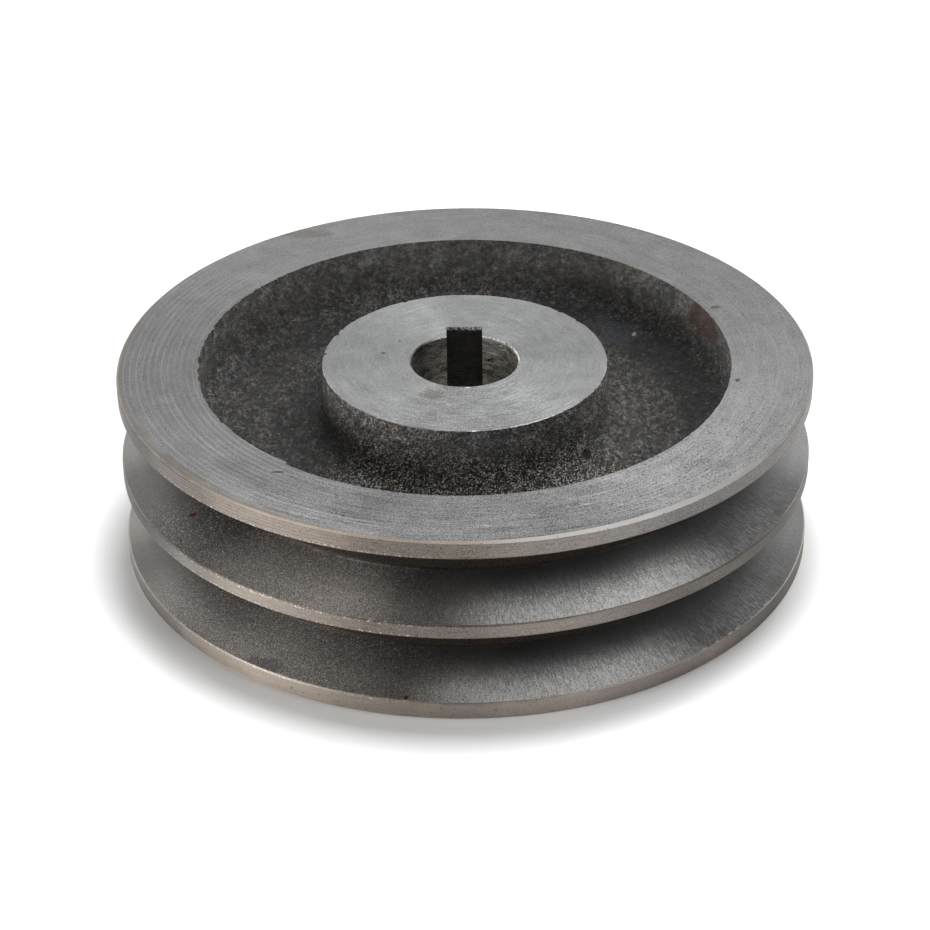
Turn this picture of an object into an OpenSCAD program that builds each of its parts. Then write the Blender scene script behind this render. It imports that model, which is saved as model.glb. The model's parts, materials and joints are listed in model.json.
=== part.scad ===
// V-belt pulley: one grey iron casting, turned on its rim, grooves and faces, then bored and keyed.
// It lies flat on one rim face, with the bore along Z and the keyway towards +Y.

/* [Rim] */
// Outer diameter over the lands
outer_d = 155; // [140:1:260]
// Land between two grooves
land_w = 3.15; // [2:0.05:8]
// Land outside an end groove
end_land_w = 4.05; // [2.5:0.05:12]
// Metal between a groove's floor and the mouth of the recess
rim_wall = 3.5; // [2.5:0.1:10]
// Chamfer round the two outer edges of the rim
rim_chamfer = 0.5; // [0.2:0.1:1.5]

/* [Belt grooves] */
// Number of grooves side by side
groove_count = 2; // [2:1:5]
// Width of a groove at the belt's datum line
groove_datum_w = 14; // [11:0.5:19]
// Depth of the datum line below the lands
groove_datum_depth = 3.5; // [2:0.1:6]
// Angle between the two flanks of a groove
groove_angle = 34; // [32:1:40]
// Depth of a groove from land to floor
groove_depth = 14.6; // [11:0.1:18]
// Radius in the two corners of a groove's floor
groove_root_r = 0.8; // [0.2:0.1:1.5]
// Edge break along both sides of a groove's mouth
land_edge_break = 0.25; // [0.1:0.05:0.6]

/* [Web and recesses] */
// Thickness of the web between the two recesses
web_t = 10.5; // [6:0.5:20]
// Draft of the rim's inner wall
rim_draft = 3.5; // [0:0.5:8]
// Draft of the hub's outer wall
hub_draft = 1.5; // [0:0.5:6]
// Largest fillet between the web and the rim
rim_fillet_max = 8; // [1:0.5:12]
// Largest fillet between the web and the hub
hub_fillet_max = 7; // [1:0.5:12]

/* [Hub and bore] */
// Diameter of the hub at its two faces
hub_d = 63.6; // [46:0.2:76]
// Level of a hub face below the rim face
hub_face_drop = 0.6; // [0:0.1:4]
// Diameter of the bore
bore_d = 24; // [14:0.5:38]
// Edge break at both ends of the bore
bore_edge_break = 0.3; // [0.1:0.1:1]
// Width of the keyway
keyway_w = 8; // [4:0.5:12]
// Depth of the keyway beyond the bore
keyway_depth = 3.3; // [1.5:0.1:5]

/* [Hidden] */
$fn = 144;
cast_grey = [0.47, 0.47, 0.46];
// Overshoot of a cut past the face that it opens on
cut_over = 1;
// Plain wall kept between a fillet and the next edge
fillet_margin = 0.5;
// Depth by which a fillet's arc runs past the faces that it blends, so that it crosses them cleanly
arc_overlap = 0.0002;

// Rim and grooves
outer_r = outer_d / 2;
flank_angle = groove_angle / 2;
groove_mouth_w = groove_datum_w + 2 * groove_datum_depth * tan(flank_angle);
groove_floor_w = groove_mouth_w - 2 * groove_depth * tan(flank_angle);
groove_pitch = groove_mouth_w + land_w;
first_groove_z = end_land_w + groove_mouth_w / 2;
face_w = 2 * first_groove_z + (groove_count - 1) * groove_pitch;

// Hub and bore
hub_r = hub_d / 2;
bore_r = bore_d / 2;
hub_face_z = face_w - hub_face_drop;

// Recess between hub and rim, from its mouth down to the web
recess_mouth_r = outer_r - groove_depth - rim_wall;
recess_depth = (face_w - web_t) / 2;
web_face_z = face_w - recess_depth;
web_outer_r = recess_mouth_r - recess_depth * tan(rim_draft);
web_inner_r = hub_r + (hub_face_z - web_face_z) * tan(hub_draft);
web_w = web_outer_r - web_inner_r;
fillet_room = min(web_w / 2, hub_face_z - web_face_z) - fillet_margin;
rim_fillet_r = min(rim_fillet_max, fillet_room);
hub_fillet_r = min(hub_fillet_max, fillet_room);

// Centre of the arc that blends a floor into a wall leaning away by an angle, seen from their corner
function arc_centre(radius, lean) = radius * [1 / cos(lean) - tan(lean), 1];
// Point where that arc runs out on the wall
function wall_touch(radius, lean) = arc_centre(radius, lean) - radius * [cos(lean), sin(lean)];

// Section of a cut that opens towards +Y: a floor along X, two leaning walls and two filleted corners
module cut_section(floor_w, depth, lean, radius) {
    rise = depth + cut_over;
    left_arc = arc_centre(radius[0], lean[0]);
    right_arc = arc_centre(radius[1], lean[1]);
    left_touch = wall_touch(radius[0], lean[0]);
    right_touch = wall_touch(radius[1], lean[1]);
    polygon([
        [left_arc.x, 0],
        [floor_w - right_arc.x, 0],
        [floor_w - right_touch.x, right_touch.y],
        [floor_w + rise * tan(lean[1]), rise],
        [-rise * tan(lean[0]), rise],
        left_touch,
    ]);
    translate(left_arc)
        circle(r = radius[0] + arc_overlap);
    translate([floor_w - right_arc.x, right_arc.y])
        circle(r = radius[1] + arc_overlap);
}

// Section of one belt groove about its own middle, with the mouth's two edges broken
module groove_section() {
    broken_mouth = groove_mouth_w / 2 + land_edge_break;
    break_slope = 1 + tan(flank_angle);
    below = 2 * land_edge_break;
    translate([outer_r - groove_depth, groove_floor_w / 2])
        rotate(-90)
            cut_section(
                groove_floor_w, groove_depth, [flank_angle, flank_angle], [groove_root_r, groove_root_r]
            );
    polygon([
        [outer_r - below, -broken_mouth + below * break_slope],
        [outer_r + cut_over, -broken_mouth - cut_over * break_slope],
        [outer_r + cut_over, broken_mouth + cut_over * break_slope],
        [outer_r - below, broken_mouth - below * break_slope],
    ]);
}

// Section of what is cut away on one side: the recess, the hub's face and the bore's edge
module side_section() {
    translate([web_inner_r, web_face_z])
        cut_section(web_w, recess_depth, [hub_draft, rim_draft], [hub_fillet_r, rim_fillet_r]);
    translate([bore_r - cut_over, hub_face_z])
        square([hub_r - bore_r + 2 * cut_over, hub_face_drop + cut_over]);
    polygon([
        [bore_r - cut_over, hub_face_z - bore_edge_break - cut_over],
        [bore_r + bore_edge_break + cut_over, hub_face_z + cut_over],
        [bore_r - cut_over, hub_face_z + cut_over],
    ]);
}

// Half section of the pulley, from the bore out to the lands
module pulley_section() {
    difference() {
        polygon([
            [bore_r, 0],
            [outer_r - rim_chamfer, 0],
            [outer_r, rim_chamfer],
            [outer_r, face_w - rim_chamfer],
            [outer_r - rim_chamfer, face_w],
            [bore_r, face_w],
        ]);
        for (i = [0 : groove_count - 1])
            translate([0, first_groove_z + i * groove_pitch])
                groove_section();
        side_section();
        translate([0, face_w])
            mirror([0, 1])
                side_section();
    }
}

// Keyway broached along the whole bore
module keyway() {
    translate([-keyway_w / 2, 0, -cut_over])
        cube([keyway_w, bore_r + keyway_depth, face_w + 2 * cut_over]);
}

module pulley() {
    color(cast_grey)
        difference() {
            rotate_extrude()
                pulley_section();
            keyway();
        }
}

pulley();
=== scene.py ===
# %% [markdown]
# A V-belt pulley in grey cast iron
# The real pulley is one casting. A foundry pours it with its two recesses, a lathe then turns the rim,
# the grooves and the faces, and the bore is drilled and broached for a key. So one closed mesh stands
# for it here, with a finish for each way that its surface was made.
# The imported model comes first, because every size in this lesson is measured from it.

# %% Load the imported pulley
import json
import math

import bmesh
import bpy
from mathutils import Matrix, Vector


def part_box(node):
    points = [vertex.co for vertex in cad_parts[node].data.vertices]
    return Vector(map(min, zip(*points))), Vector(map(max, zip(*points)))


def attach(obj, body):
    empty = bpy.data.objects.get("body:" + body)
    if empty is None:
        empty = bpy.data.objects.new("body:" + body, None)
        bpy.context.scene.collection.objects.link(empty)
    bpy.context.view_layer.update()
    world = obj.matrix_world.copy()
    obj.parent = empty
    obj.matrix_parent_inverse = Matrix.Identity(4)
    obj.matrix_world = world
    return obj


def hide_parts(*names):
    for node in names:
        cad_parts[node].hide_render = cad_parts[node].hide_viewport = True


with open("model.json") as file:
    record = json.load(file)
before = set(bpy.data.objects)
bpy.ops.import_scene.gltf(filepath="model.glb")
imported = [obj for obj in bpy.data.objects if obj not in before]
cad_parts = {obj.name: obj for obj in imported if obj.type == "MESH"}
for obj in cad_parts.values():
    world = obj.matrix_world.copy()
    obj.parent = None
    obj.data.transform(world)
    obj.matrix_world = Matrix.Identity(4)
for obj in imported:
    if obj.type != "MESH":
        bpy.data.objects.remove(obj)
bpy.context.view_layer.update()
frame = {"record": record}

# %% [markdown]
# Sizes
# The box gives the rim's diameter and width, and the record's mounts give the bore, the keyway, the hub
# faces and the belt grooves. What is left, such as drafts, fillets and broken edges, is written here
# once, in metres.

# %% Measure the pulley
MM = 0.001
mounts = {mount["name"]: mount for mount in frame["record"]["mounts"]}
low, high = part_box("pulley")
outer_radius = min(high.x, high.y, -low.x, -low.y)
face_width = high.z
bore_radius = mounts["bore"]["dims"]["r_mm"] * MM
keyway_floor = mounts["keyway"]["pos_m"][1]
hub_face = mounts["upper_hub_face"]["pos_m"][2]
groove_floor_radius = mounts["upper_belt_groove"]["pos_m"][0]
groove_middles = [mounts[name]["pos_m"][2] for name in ("upper_belt_groove", "lower_belt_groove")]

keyway_half = 4 * MM
hub_radius = 31.8 * MM
recess_mouth_radius = 59.4 * MM
web_thickness = 10.5 * MM
hub_draft = math.radians(1.5)
rim_draft = math.radians(3.5)
hub_fillet = 7 * MM
rim_fillet = 8 * MM
end_land = 4.05 * MM
flank_angle = math.radians(17)
root_radius = 0.8 * MM
rim_chamfer = 0.5 * MM
land_break = 0.25 * MM
bore_break = 0.3 * MM
hub_break = 0.12 * MM
print("rim radius", round(outer_radius / MM, 2), "mm, width", round(face_width / MM, 2), "mm")

# %% [markdown]
# The half section
# A turned part is drawn once, as the outline that the lathe follows, and then spun. Lines and arcs come
# from two small functions, so a fillet stays a true arc and its spacing can be chosen: close on the
# rough cast recess that shows, wider below, and only at the corners of the turned stretches.

# %% Lines and arcs of the section
same_point = 0.01 * MM


def line(start, end, spacing):
    pieces = max(1, round(math.dist(start, end) / spacing))
    shares = [piece / pieces for piece in range(pieces + 1)]
    return [tuple(a + (b - a) * share for a, b in zip(start, end)) for share in shares]


def arc(centre, radius, start, end, spacing):
    pieces = max(2, round(abs(end - start) * radius / spacing))
    angles = [start + (end - start) * piece / pieces for piece in range(pieces + 1)]
    return [(centre[0] + radius * math.cos(a), centre[1] + radius * math.sin(a)) for a in angles]


def joined(*runs):
    points = list(runs[0])
    for run in runs[1:]:
        points += run[1:] if math.dist(points[-1], run[0]) < same_point else run
    return points


def corner_inset(radius, lean):
    return radius * (1 / math.cos(lean) - math.tan(lean))


print("rim fillet starts", round(corner_inset(rim_fillet, rim_draft) / MM, 2), "mm from its corner")

# %% [markdown]
# The cast recess
# Both recesses have the same form. The hub's wall and the rim's wall lean apart, as a mould needs, and
# two wide fillets blend them into the web. One function draws it, and a mirrored copy of its points
# gives the underside.

# %% Outline of one recess, from the hub's edge to the rim's
DOWN = math.radians(270)
web_face = (face_width + web_thickness) / 2
web_inner_radius = hub_radius + (hub_face - web_face) * math.tan(hub_draft)
web_outer_radius = recess_mouth_radius - (face_width - web_face) * math.tan(rim_draft)
hub_arc_centre = (web_inner_radius + corner_inset(hub_fillet, hub_draft), web_face + hub_fillet)
rim_arc_centre = (web_outer_radius - corner_inset(rim_fillet, rim_draft), web_face + rim_fillet)


def recess(spacing):
    hub_arc = arc(hub_arc_centre, hub_fillet, math.pi + hub_draft, DOWN, spacing)
    rim_arc = arc(rim_arc_centre, rim_fillet, DOWN, 2 * math.pi - rim_draft, spacing)
    return joined(
        line((hub_radius, hub_face - hub_break), hub_arc[0], spacing),
        hub_arc,
        line(hub_arc[-1], rim_arc[0], spacing),
        rim_arc,
        line(rim_arc[-1], (recess_mouth_radius, face_width), spacing),
    )


def mirrored(points):
    return [(radius, face_width - height) for radius, height in reversed(points)]


print("recess outline:", len(recess(1 * MM)), "points at 1 mm")

# %% [markdown]
# The belt grooves
# Each groove is a V with flat flanks 34 degrees apart, a narrow floor and a small radius in both of its
# corners. The edges at its mouth are broken, as a turner does so that they don't cut the belt.

# %% Outline of one groove, from its upper lip to its lower one
half_mouth = face_width - end_land - groove_middles[0]
groove_depth = outer_radius - groove_floor_radius
half_floor = half_mouth - groove_depth * math.tan(flank_angle)
flank_spacing = 5 * MM
root_spacing = 0.34 * MM


def groove(middle):
    root_offset = half_floor - corner_inset(root_radius, flank_angle)
    upper_root = (groove_floor_radius + root_radius, middle + root_offset)
    lower_root = (groove_floor_radius + root_radius, middle - root_offset)
    lip = (outer_radius - land_break, half_mouth - land_break * math.tan(flank_angle))
    upper_arc = arc(upper_root, root_radius, math.pi / 2 + flank_angle, math.pi, root_spacing)
    lower_arc = arc(lower_root, root_radius, math.pi, 3 * math.pi / 2 - flank_angle, root_spacing)
    return joined(
        line((lip[0], middle + lip[1]), upper_arc[0], flank_spacing),
        upper_arc,
        lower_arc,
        line(lower_arc[-1], (lip[0], middle - lip[1]), flank_spacing),
    )


upper_groove = groove(groove_middles[0])
lower_groove = groove(groove_middles[1])
print("groove outline:", len(upper_groove), "points")

# %% [markdown]
# The turned faces, the lands and the bore
# These stretches are straight, so they need few points: their corners, and one more point close to each
# rough edge, so that what happens to the edge doesn't bend the whole face.

# %% Outlines of the straight stretches
edge_margin = 0.9 * MM
hub_face_middle = 20 * MM
hub_face_run = [
    (bore_radius + bore_break, hub_face),
    (hub_face_middle, hub_face),
    (hub_radius - edge_margin, hub_face),
    (hub_radius - hub_break, hub_face),
    (hub_radius, hub_face - hub_break),
]
rim_face_run = [
    (recess_mouth_radius, face_width),
    (recess_mouth_radius + edge_margin, face_width),
    (outer_radius - rim_chamfer - edge_margin, face_width),
    (outer_radius - rim_chamfer, face_width),
]
land_ends = [middle + side * (half_mouth + land_break) for middle in groove_middles for side in (1, -1)]
first_land = [
    (outer_radius - rim_chamfer, face_width),
    (outer_radius, face_width - rim_chamfer),
    (outer_radius, land_ends[0]),
    upper_groove[0],
]
middle_land = [
    upper_groove[-1],
    (outer_radius, land_ends[1]),
    (outer_radius, land_ends[2]),
    lower_groove[0],
]
bore_run = [
    (bore_radius + bore_break, face_width - hub_face),
    (bore_radius, face_width - hub_face + bore_break),
    (bore_radius, hub_face - bore_break),
    (bore_radius + bore_break, hub_face),
]
print("lands end at", [round(land_end / MM, 2) for land_end in land_ends], "mm")

# %% [markdown]
# The whole outline
# The stretches follow one another round the section: out over the top, down the grooves, in along the
# underside and up the bore. Each one carries the name of its finish, so that a face between two points
# of one stretch can later be told apart from its neighbours.

# %% Put the stretches in order
upper_spacing = 0.95 * MM
lower_spacing = 1.7 * MM
stretches = [
    ("turned_face", hub_face_run),
    ("cast_skin", recess(upper_spacing)),
    ("turned_face", rim_face_run),
    ("turned_land", first_land),
    ("groove_flank", upper_groove),
    ("turned_land", middle_land),
    ("groove_flank", lower_groove),
    ("turned_land", mirrored(first_land)),
    ("turned_face", mirrored(rim_face_run)),
    ("cast_skin", mirrored(recess(lower_spacing))),
    ("turned_face", mirrored(hub_face_run)),
    ("bored_wall", bore_run),
]
FINISHES = sorted({name for name, points in stretches})
print("stretches:", len(stretches), "finishes:", ", ".join(FINISHES))

# %% [markdown]
# Marks that travel with the outline
# Geometry Nodes can read numbers stored on the outline's points. Besides the finishes, each point says
# how much of the bore's outline it follows, how deep the cast skin's bumps may go there, and how ragged
# the edge of the casting is. The last two fade along the cast wall, so that the turned faces stay flat.
# Five single points are marked as well: both ends of the top chamfer and of the bore's upper edge, which
# hand work left uneven, and the hub's upper edge, which is as ragged as the cast wall below it.

# %% Collect the outline's points and their marks
relief_fade = 2.5 * MM
ragged_fade = 2.2 * MM

rows = []
for stretch_finish, points in stretches:
    is_cast = stretch_finish == "cast_skin"
    travel = [0.0]
    for before, after in zip(points, points[1:]):
        travel.append(travel[-1] + math.dist(before, after))
    for point, gone in zip(points, travel):
        to_edge = min(gone, travel[-1] - gone)
        row = {
            "point": point,
            "relief": min(1, to_edge / relief_fade) if is_cast else 0.0,
            "ragged": max(0, 1 - to_edge / ragged_fade) if is_cast else 0.0,
            "follows_bore": 1.0 if point[0] < hub_face_middle - edge_margin else 0.0,
            stretch_finish: 1.0,
        }
        if rows and math.dist(rows[-1]["point"], point) < same_point:
            larger = {key: max(value, row.get(key, value)) for key, value in rows[-1].items()}
            rows[-1] = {**row, **larger}
        else:
            rows.append(row)
# The outline ends where it began, so its last point is taken up by its first
rows[0] = {**rows.pop(), **rows[0]}
print("outline:", len(rows), "points")

# %% Mark the single points
single_marks = {
    "chamfer_in": (outer_radius - rim_chamfer, face_width),
    "chamfer_down": (outer_radius, face_width - rim_chamfer),
    "chip_out": (bore_radius + bore_break, hub_face),
    "chip_down": (bore_radius, hub_face - bore_break),
    "ragged": (hub_radius - hub_break, hub_face),
}
for name, point in single_marks.items():
    nearest = min(rows, key=lambda row: math.dist(row["point"], point))
    nearest[name] = 1.0
print("single points:", ", ".join(single_marks))

# %% Write the outline as a mesh of edges
outline = bpy.data.meshes.new("pulley_outline")
links = [(index, (index + 1) % len(rows)) for index in range(len(rows))]
outline.from_pydata([(row["point"][0], 0, row["point"][1]) for row in rows], links, [])
mark_names = ("relief", "follows_bore", *single_marks, *FINISHES)
for name in mark_names:
    layer = outline.attributes.new(name, "FLOAT", "POINT")
    layer.data.foreach_set("value", [row.get(name, 0.0) for row in rows])
pulley = bpy.data.objects.new("pulley_casting", outline)
bpy.context.scene.collection.objects.link(pulley)
print("marks on the outline:", ", ".join(mark_names))

# %% [markdown]
# A short hand for node trees
# Both the shape and the finishes are node trees made in code. This small helper adds a node, sets its
# options and feeds its sockets, with a plain number or with another node's output. The rest are names
# for the few sums that come up again and again.

# %% Helper that adds nodes to a tree
class Nodes:
    def __init__(self, tree):
        self.tree = tree

    def add(self, kind, inputs=None, **options):
        made = self.tree.nodes.new(kind)
        for option, value in options.items():
            setattr(made, option, value)
        for socket, value in (inputs or {}).items():
            if isinstance(value, bpy.types.NodeSocket):
                self.tree.links.new(value, made.inputs[socket])
            else:
                made.inputs[socket].default_value = value
        return made

    def math(self, operation, *values):
        return self.add("ShaderNodeMath", dict(enumerate(values)), operation=operation).outputs[0]

    def product(self, first, *others):
        for other in others:
            first = self.math("MULTIPLY", first, other)
        return first

    def total(self, first, *others):
        for other in others:
            first = self.math("ADD", first, other)
        return first

    def blend(self, share, first, second):
        return self.add("ShaderNodeMix", {"Factor": share, "A": first, "B": second}).outputs[0]

    def swing(self, value, size):
        return self.product(self.math("SUBTRACT", value, 0.5), size, 2.0)

    def vector(self, operation, *values):
        made = self.add("ShaderNodeVectorMath", dict(enumerate(values)), operation=operation)
        return made.outputs["Value" if operation in ("LENGTH", "DOT_PRODUCT") else "Vector"]

    def scaled(self, vector, scale):
        made = self.add("ShaderNodeVectorMath", {"Vector": vector, "Scale": scale}, operation="SCALE")
        return made.outputs["Vector"]

    def xyz(self, x, y, z):
        return self.add("ShaderNodeCombineXYZ", {"X": x, "Y": y, "Z": z}).outputs[0]

    def parts(self, vector):
        return self.add("ShaderNodeSeparateXYZ", {0: vector}).outputs

    def remap(self, value, before, after, smooth=False):
        made = self.add("ShaderNodeMapRange", {"Value": value}, clamp=True)
        made.interpolation_type = "SMOOTHSTEP" if smooth else "LINEAR"
        for socket, number in zip(("From Min", "From Max", "To Min", "To Max"), (*before, *after)):
            made.inputs[socket].default_value = number
        return made.outputs[0]

    def noise(self, vector, scale, detail=2.0, roughness=0.5, seed=None):
        sockets = {"Vector": vector, "Scale": scale, "Detail": detail, "Roughness": roughness}
        if seed is None:
            return self.add("ShaderNodeTexNoise", sockets).outputs[0]
        return self.add("ShaderNodeTexNoise", {"W": seed, **sockets}, noise_dimensions="4D").outputs[0]


def helpers_of(kind):
    return ", ".join(name for name in vars(kind) if not name.startswith("_"))


print("node helpers:", helpers_of(Nodes))

# %% [markdown]
# Spinning the section
# A Screw modifier could spin the outline, but the bore isn't round: the keyway widens it. So the tree
# sweeps the outline along a circle to get a closed grid of faces and then puts each point in its place
# by a formula. Seen from the axis, the bore and the keyway make one star-shaped outline: the larger of
# the bore's circle and the slot. The columns nearest to the keyway's corners are turned onto them, so
# that its edges stay sharp.

# %% Start the tree and name its inputs
COLUMNS = 720
turning = bpy.data.node_groups.new("spin_the_section", "GeometryNodeTree")
tree_inputs = {
    "Columns": ("NodeSocketInt", COLUMNS),
    "Bore Radius": ("NodeSocketFloat", bore_radius),
    "Keyway Half Width": ("NodeSocketFloat", keyway_half),
    "Keyway Floor": ("NodeSocketFloat", keyway_floor),
    "Relief Depth": ("NodeSocketFloat", 0.22 * MM),
    "Relief Size": ("NodeSocketFloat", 3.2 * MM),
    "Ragged Depth": ("NodeSocketFloat", 0.3 * MM),
    "Ragged Size": ("NodeSocketFloat", 1.3 * MM),
    "Step Angle": ("NodeSocketFloat", math.radians(-129.6)),
    "Step Span": ("NodeSocketFloat", math.radians(26)),
    "Step Depth": ("NodeSocketFloat", 0.75 * MM),
    "Filed Angle": ("NodeSocketFloat", math.radians(-55)),
    "Filed Span": ("NodeSocketFloat", math.radians(40)),
    "Filed Depth": ("NodeSocketFloat", 0.3 * MM),
    "Chip Depth": ("NodeSocketFloat", 1.6 * MM),
    "Chip Size": ("NodeSocketFloat", 1.0 * MM),
    "Seed": ("NodeSocketFloat", 7.0),
}
turning.interface.new_socket("Geometry", in_out="INPUT", socket_type="NodeSocketGeometry")
turning.interface.new_socket("Geometry", in_out="OUTPUT", socket_type="NodeSocketGeometry")
identifiers = {}
for name, (kind, value) in tree_inputs.items():
    identifiers[name] = turning.interface.new_socket(name, in_out="INPUT", socket_type=kind).identifier
spin = Nodes(turning)
given = spin.add("NodeGroupInput").outputs
print("tree inputs:", ", ".join(tree_inputs))

# %% Sweep the outline round a circle and keep each point's turn, radius and height
def keep(geometry, name, value):
    sockets = {"Geometry": geometry, "Name": name, "Value": value}
    return spin.add("GeometryNodeStoreNamedAttribute", sockets, data_type="FLOAT").outputs[0]


def carried(name):
    return spin.add("GeometryNodeInputNamedAttribute", {"Name": name}, data_type="FLOAT").outputs[0]


section_curve = spin.add("GeometryNodeMeshToCurve", {"Mesh": given["Geometry"]}).outputs[0]
section_place = spin.parts(spin.add("GeometryNodeInputPosition").outputs[0])
section_curve = keep(section_curve, "section_radius", section_place["X"])
section_curve = keep(section_curve, "section_height", section_place["Z"])
rail = spin.add("GeometryNodeCurvePrimitiveCircle", {"Resolution": given["Columns"]}).outputs[0]
share_round = spin.math("DIVIDE", spin.add("GeometryNodeInputIndex").outputs[0], given["Columns"])
rail = keep(rail, "turn", spin.math("MULTIPLY", share_round, 2 * math.pi))
swept = spin.add("GeometryNodeCurveToMesh", {"Curve": rail, "Profile Curve": section_curve}).outputs[0]
print("sweep:", COLUMNS, "columns of", len(rows), "points")

# %% Turn the nearest columns onto the keyway's corners
def turn_from(angle, start):
    return spin.math("WRAP", spin.math("SUBTRACT", angle, start), math.pi, -math.pi)


keyway_half_width = given["Keyway Half Width"]
from_keyway = turn_from(carried("turn"), math.pi / 2)
floor_corner = spin.math("ARCTANGENT", spin.math("DIVIDE", keyway_half_width, given["Keyway Floor"]))
mouth_corner = spin.math("ARCSINE", spin.math("DIVIDE", keyway_half_width, given["Bore Radius"]))
half_column = spin.math("DIVIDE", math.pi, given["Columns"])
swing = spin.math("ABSOLUTE", from_keyway)
for corner in (floor_corner, mouth_corner):
    near = spin.math("COMPARE", swing, corner, half_column)
    swing = spin.blend(near, swing, corner)
angle = spin.math("ADD", spin.product(swing, spin.math("SIGN", from_keyway)), math.pi / 2)
print("keyway floor:", round(keyway_floor / MM, 2), "mm from the axis")

# %% Let the bore's points follow the bore and the keyway
SMALLEST_SINE = 1e-6
to_floor = spin.math("DIVIDE", given["Keyway Floor"], spin.math("COSINE", swing))
side_sine = spin.math("MAXIMUM", spin.math("SINE", swing), SMALLEST_SINE)
to_side = spin.math("DIVIDE", keyway_half_width, side_sine)
bore_reach = spin.math("MAXIMUM", given["Bore Radius"], spin.math("MINIMUM", to_floor, to_side))
widening = spin.product(spin.math("SUBTRACT", bore_reach, given["Bore Radius"]), carried("follows_bore"))
print("nodes so far:", len(turning.nodes))

# %% [markdown]
# Rough edges of the casting
# Where the turned faces meet the cast walls, the sand leaves the edge a little ragged, most of all on
# one side of the rim, and the hub's edge has a few notches. At one place on the rim the edge also has a
# small step, where two parts of the mould met. All of these only move points along the radius, so one
# sum of lengths is enough.

# %% Make the cast edges ragged
ROUGHEST_SIDE = math.radians(165)
EXTRA_ROUGHNESS = 2.2
heading = spin.xyz(spin.math("COSINE", angle), spin.math("SINE", angle), 0.0)
along_edge = spin.scaled(heading, carried("section_radius"))
ragged_scale = spin.math("DIVIDE", 1.0, given["Ragged Size"])
edge_noise = spin.noise(along_edge, ragged_scale, 3.0, 0.6, given["Seed"])
between_edges = (hub_radius + recess_mouth_radius) / 2
on_rim = spin.math("GREATER_THAN", carried("section_radius"), between_edges)
roughest_way = (math.cos(ROUGHEST_SIDE), math.sin(ROUGHEST_SIDE), 0.0)
rough_side = spin.vector("DOT_PRODUCT", heading, roughest_way)
rough_side = spin.product(spin.remap(rough_side, (0.6, 0.9), (0.0, EXTRA_ROUGHNESS)), on_rim)
bite = spin.product(spin.swing(edge_noise, given["Ragged Depth"]), spin.total(1.0, rough_side))
print("ragged edges: up to", round(1 + EXTRA_ROUGHNESS, 1), "times as rough on one side of the rim")

# %% Add the mould's step and the hub's notches
HUB_NOTCHES = {155.8: 0.9, 173.4: 0.7, 115.3: 0.5, 46: 0.45, 35: 0.4}
NOTCH_HALF_WIDTH = math.radians(1.3)
past_step = turn_from(angle, given["Step Angle"])
ramp = spin.math("MAXIMUM", spin.total(spin.math("DIVIDE", past_step, given["Step Span"]), 1.0), 0.0)
mould_step = spin.product(ramp, spin.math("LESS_THAN", past_step, 0.0), on_rim, given["Step Depth"])
bite = spin.math("SUBTRACT", bite, mould_step)
on_hub = spin.math("SUBTRACT", 1.0, on_rim)
for notch_angle, notch_depth in HUB_NOTCHES.items():
    off_notch = spin.math("ABSOLUTE", turn_from(angle, math.radians(notch_angle)))
    notch = spin.remap(off_notch, (0, NOTCH_HALF_WIDTH), (notch_depth * MM, 0.0))
    bite = spin.math("SUBTRACT", bite, spin.product(notch, on_hub))
bite = spin.product(bite, carried("ragged"))
print("hub notches:", len(HUB_NOTCHES))

# %% [markdown]
# Uneven edges
# The rim's top chamfer was broken by hand and is wider towards the front right. The broach tore small
# chips out of the keyway's far edge. Each moves the two ends of its edge by the same amount, so the edge
# stays one bevel.

# %% Widen the chamfer and chip the keyway's edge
CHIP_LIMIT = 0.38
off_filed = spin.math("ABSOLUTE", turn_from(angle, given["Filed Angle"]))
filed_share = spin.math("SUBTRACT", 1.0, spin.math("DIVIDE", off_filed, given["Filed Span"]))
filed = spin.product(spin.math("MAXIMUM", filed_share, 0.0), given["Filed Depth"])
on_floor_edge = spin.math("LESS_THAN", swing, spin.total(floor_corner, half_column))
chip_place = spin.scaled(heading, given["Keyway Floor"])
chip_scale = spin.math("DIVIDE", 1.0, given["Chip Size"])
chip_noise = spin.noise(chip_place, chip_scale, 2.0, 0.6, given["Seed"])
chip_share = spin.math("MAXIMUM", spin.math("SUBTRACT", chip_noise, CHIP_LIMIT), 0.0)
chip = spin.product(chip_share, on_floor_edge, given["Chip Depth"])
chip_out = spin.product(chip, carried("chip_out"))
outwards = spin.math("SUBTRACT", chip_out, spin.product(filed, carried("chamfer_in")))
chip_down = spin.product(chip, carried("chip_down"))
downwards = spin.total(chip_down, spin.product(filed, carried("chamfer_down")))
print("nodes so far:", len(turning.nodes))

# %% Put every point in its place
radius = spin.total(carried("section_radius"), widening, bite, outwards)
height = spin.math("SUBTRACT", carried("section_height"), downwards)
placed = spin.vector("ADD", spin.scaled(heading, radius), spin.xyz(0.0, 0.0, height))
spun = spin.add("GeometryNodeSetPosition", {"Geometry": swept, "Position": placed}).outputs[0]
print("nodes so far:", len(turning.nodes))

# %% [markdown]
# The cast skin's bumps
# Sand casting leaves soft lumps a few millimetres wide. They are real geometry here, pushed along the
# surface's own normal by a noise with a fixed seed. The much finer grain of the sand is left to the
# material.

# %% Push the cast skin in and out
relief_scale = spin.math("DIVIDE", 1.0, given["Relief Size"])
position = spin.add("GeometryNodeInputPosition").outputs[0]
lump = spin.swing(spin.noise(position, relief_scale, 3.0, 0.6, given["Seed"]), given["Relief Depth"])
push = spin.product(lump, carried("relief"))
offset = spin.scaled(spin.add("GeometryNodeInputNormal").outputs[0], push)
rough = spin.add("GeometryNodeSetPosition", {"Geometry": spun, "Offset": offset}).outputs[0]
print("nodes so far:", len(turning.nodes))

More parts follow.
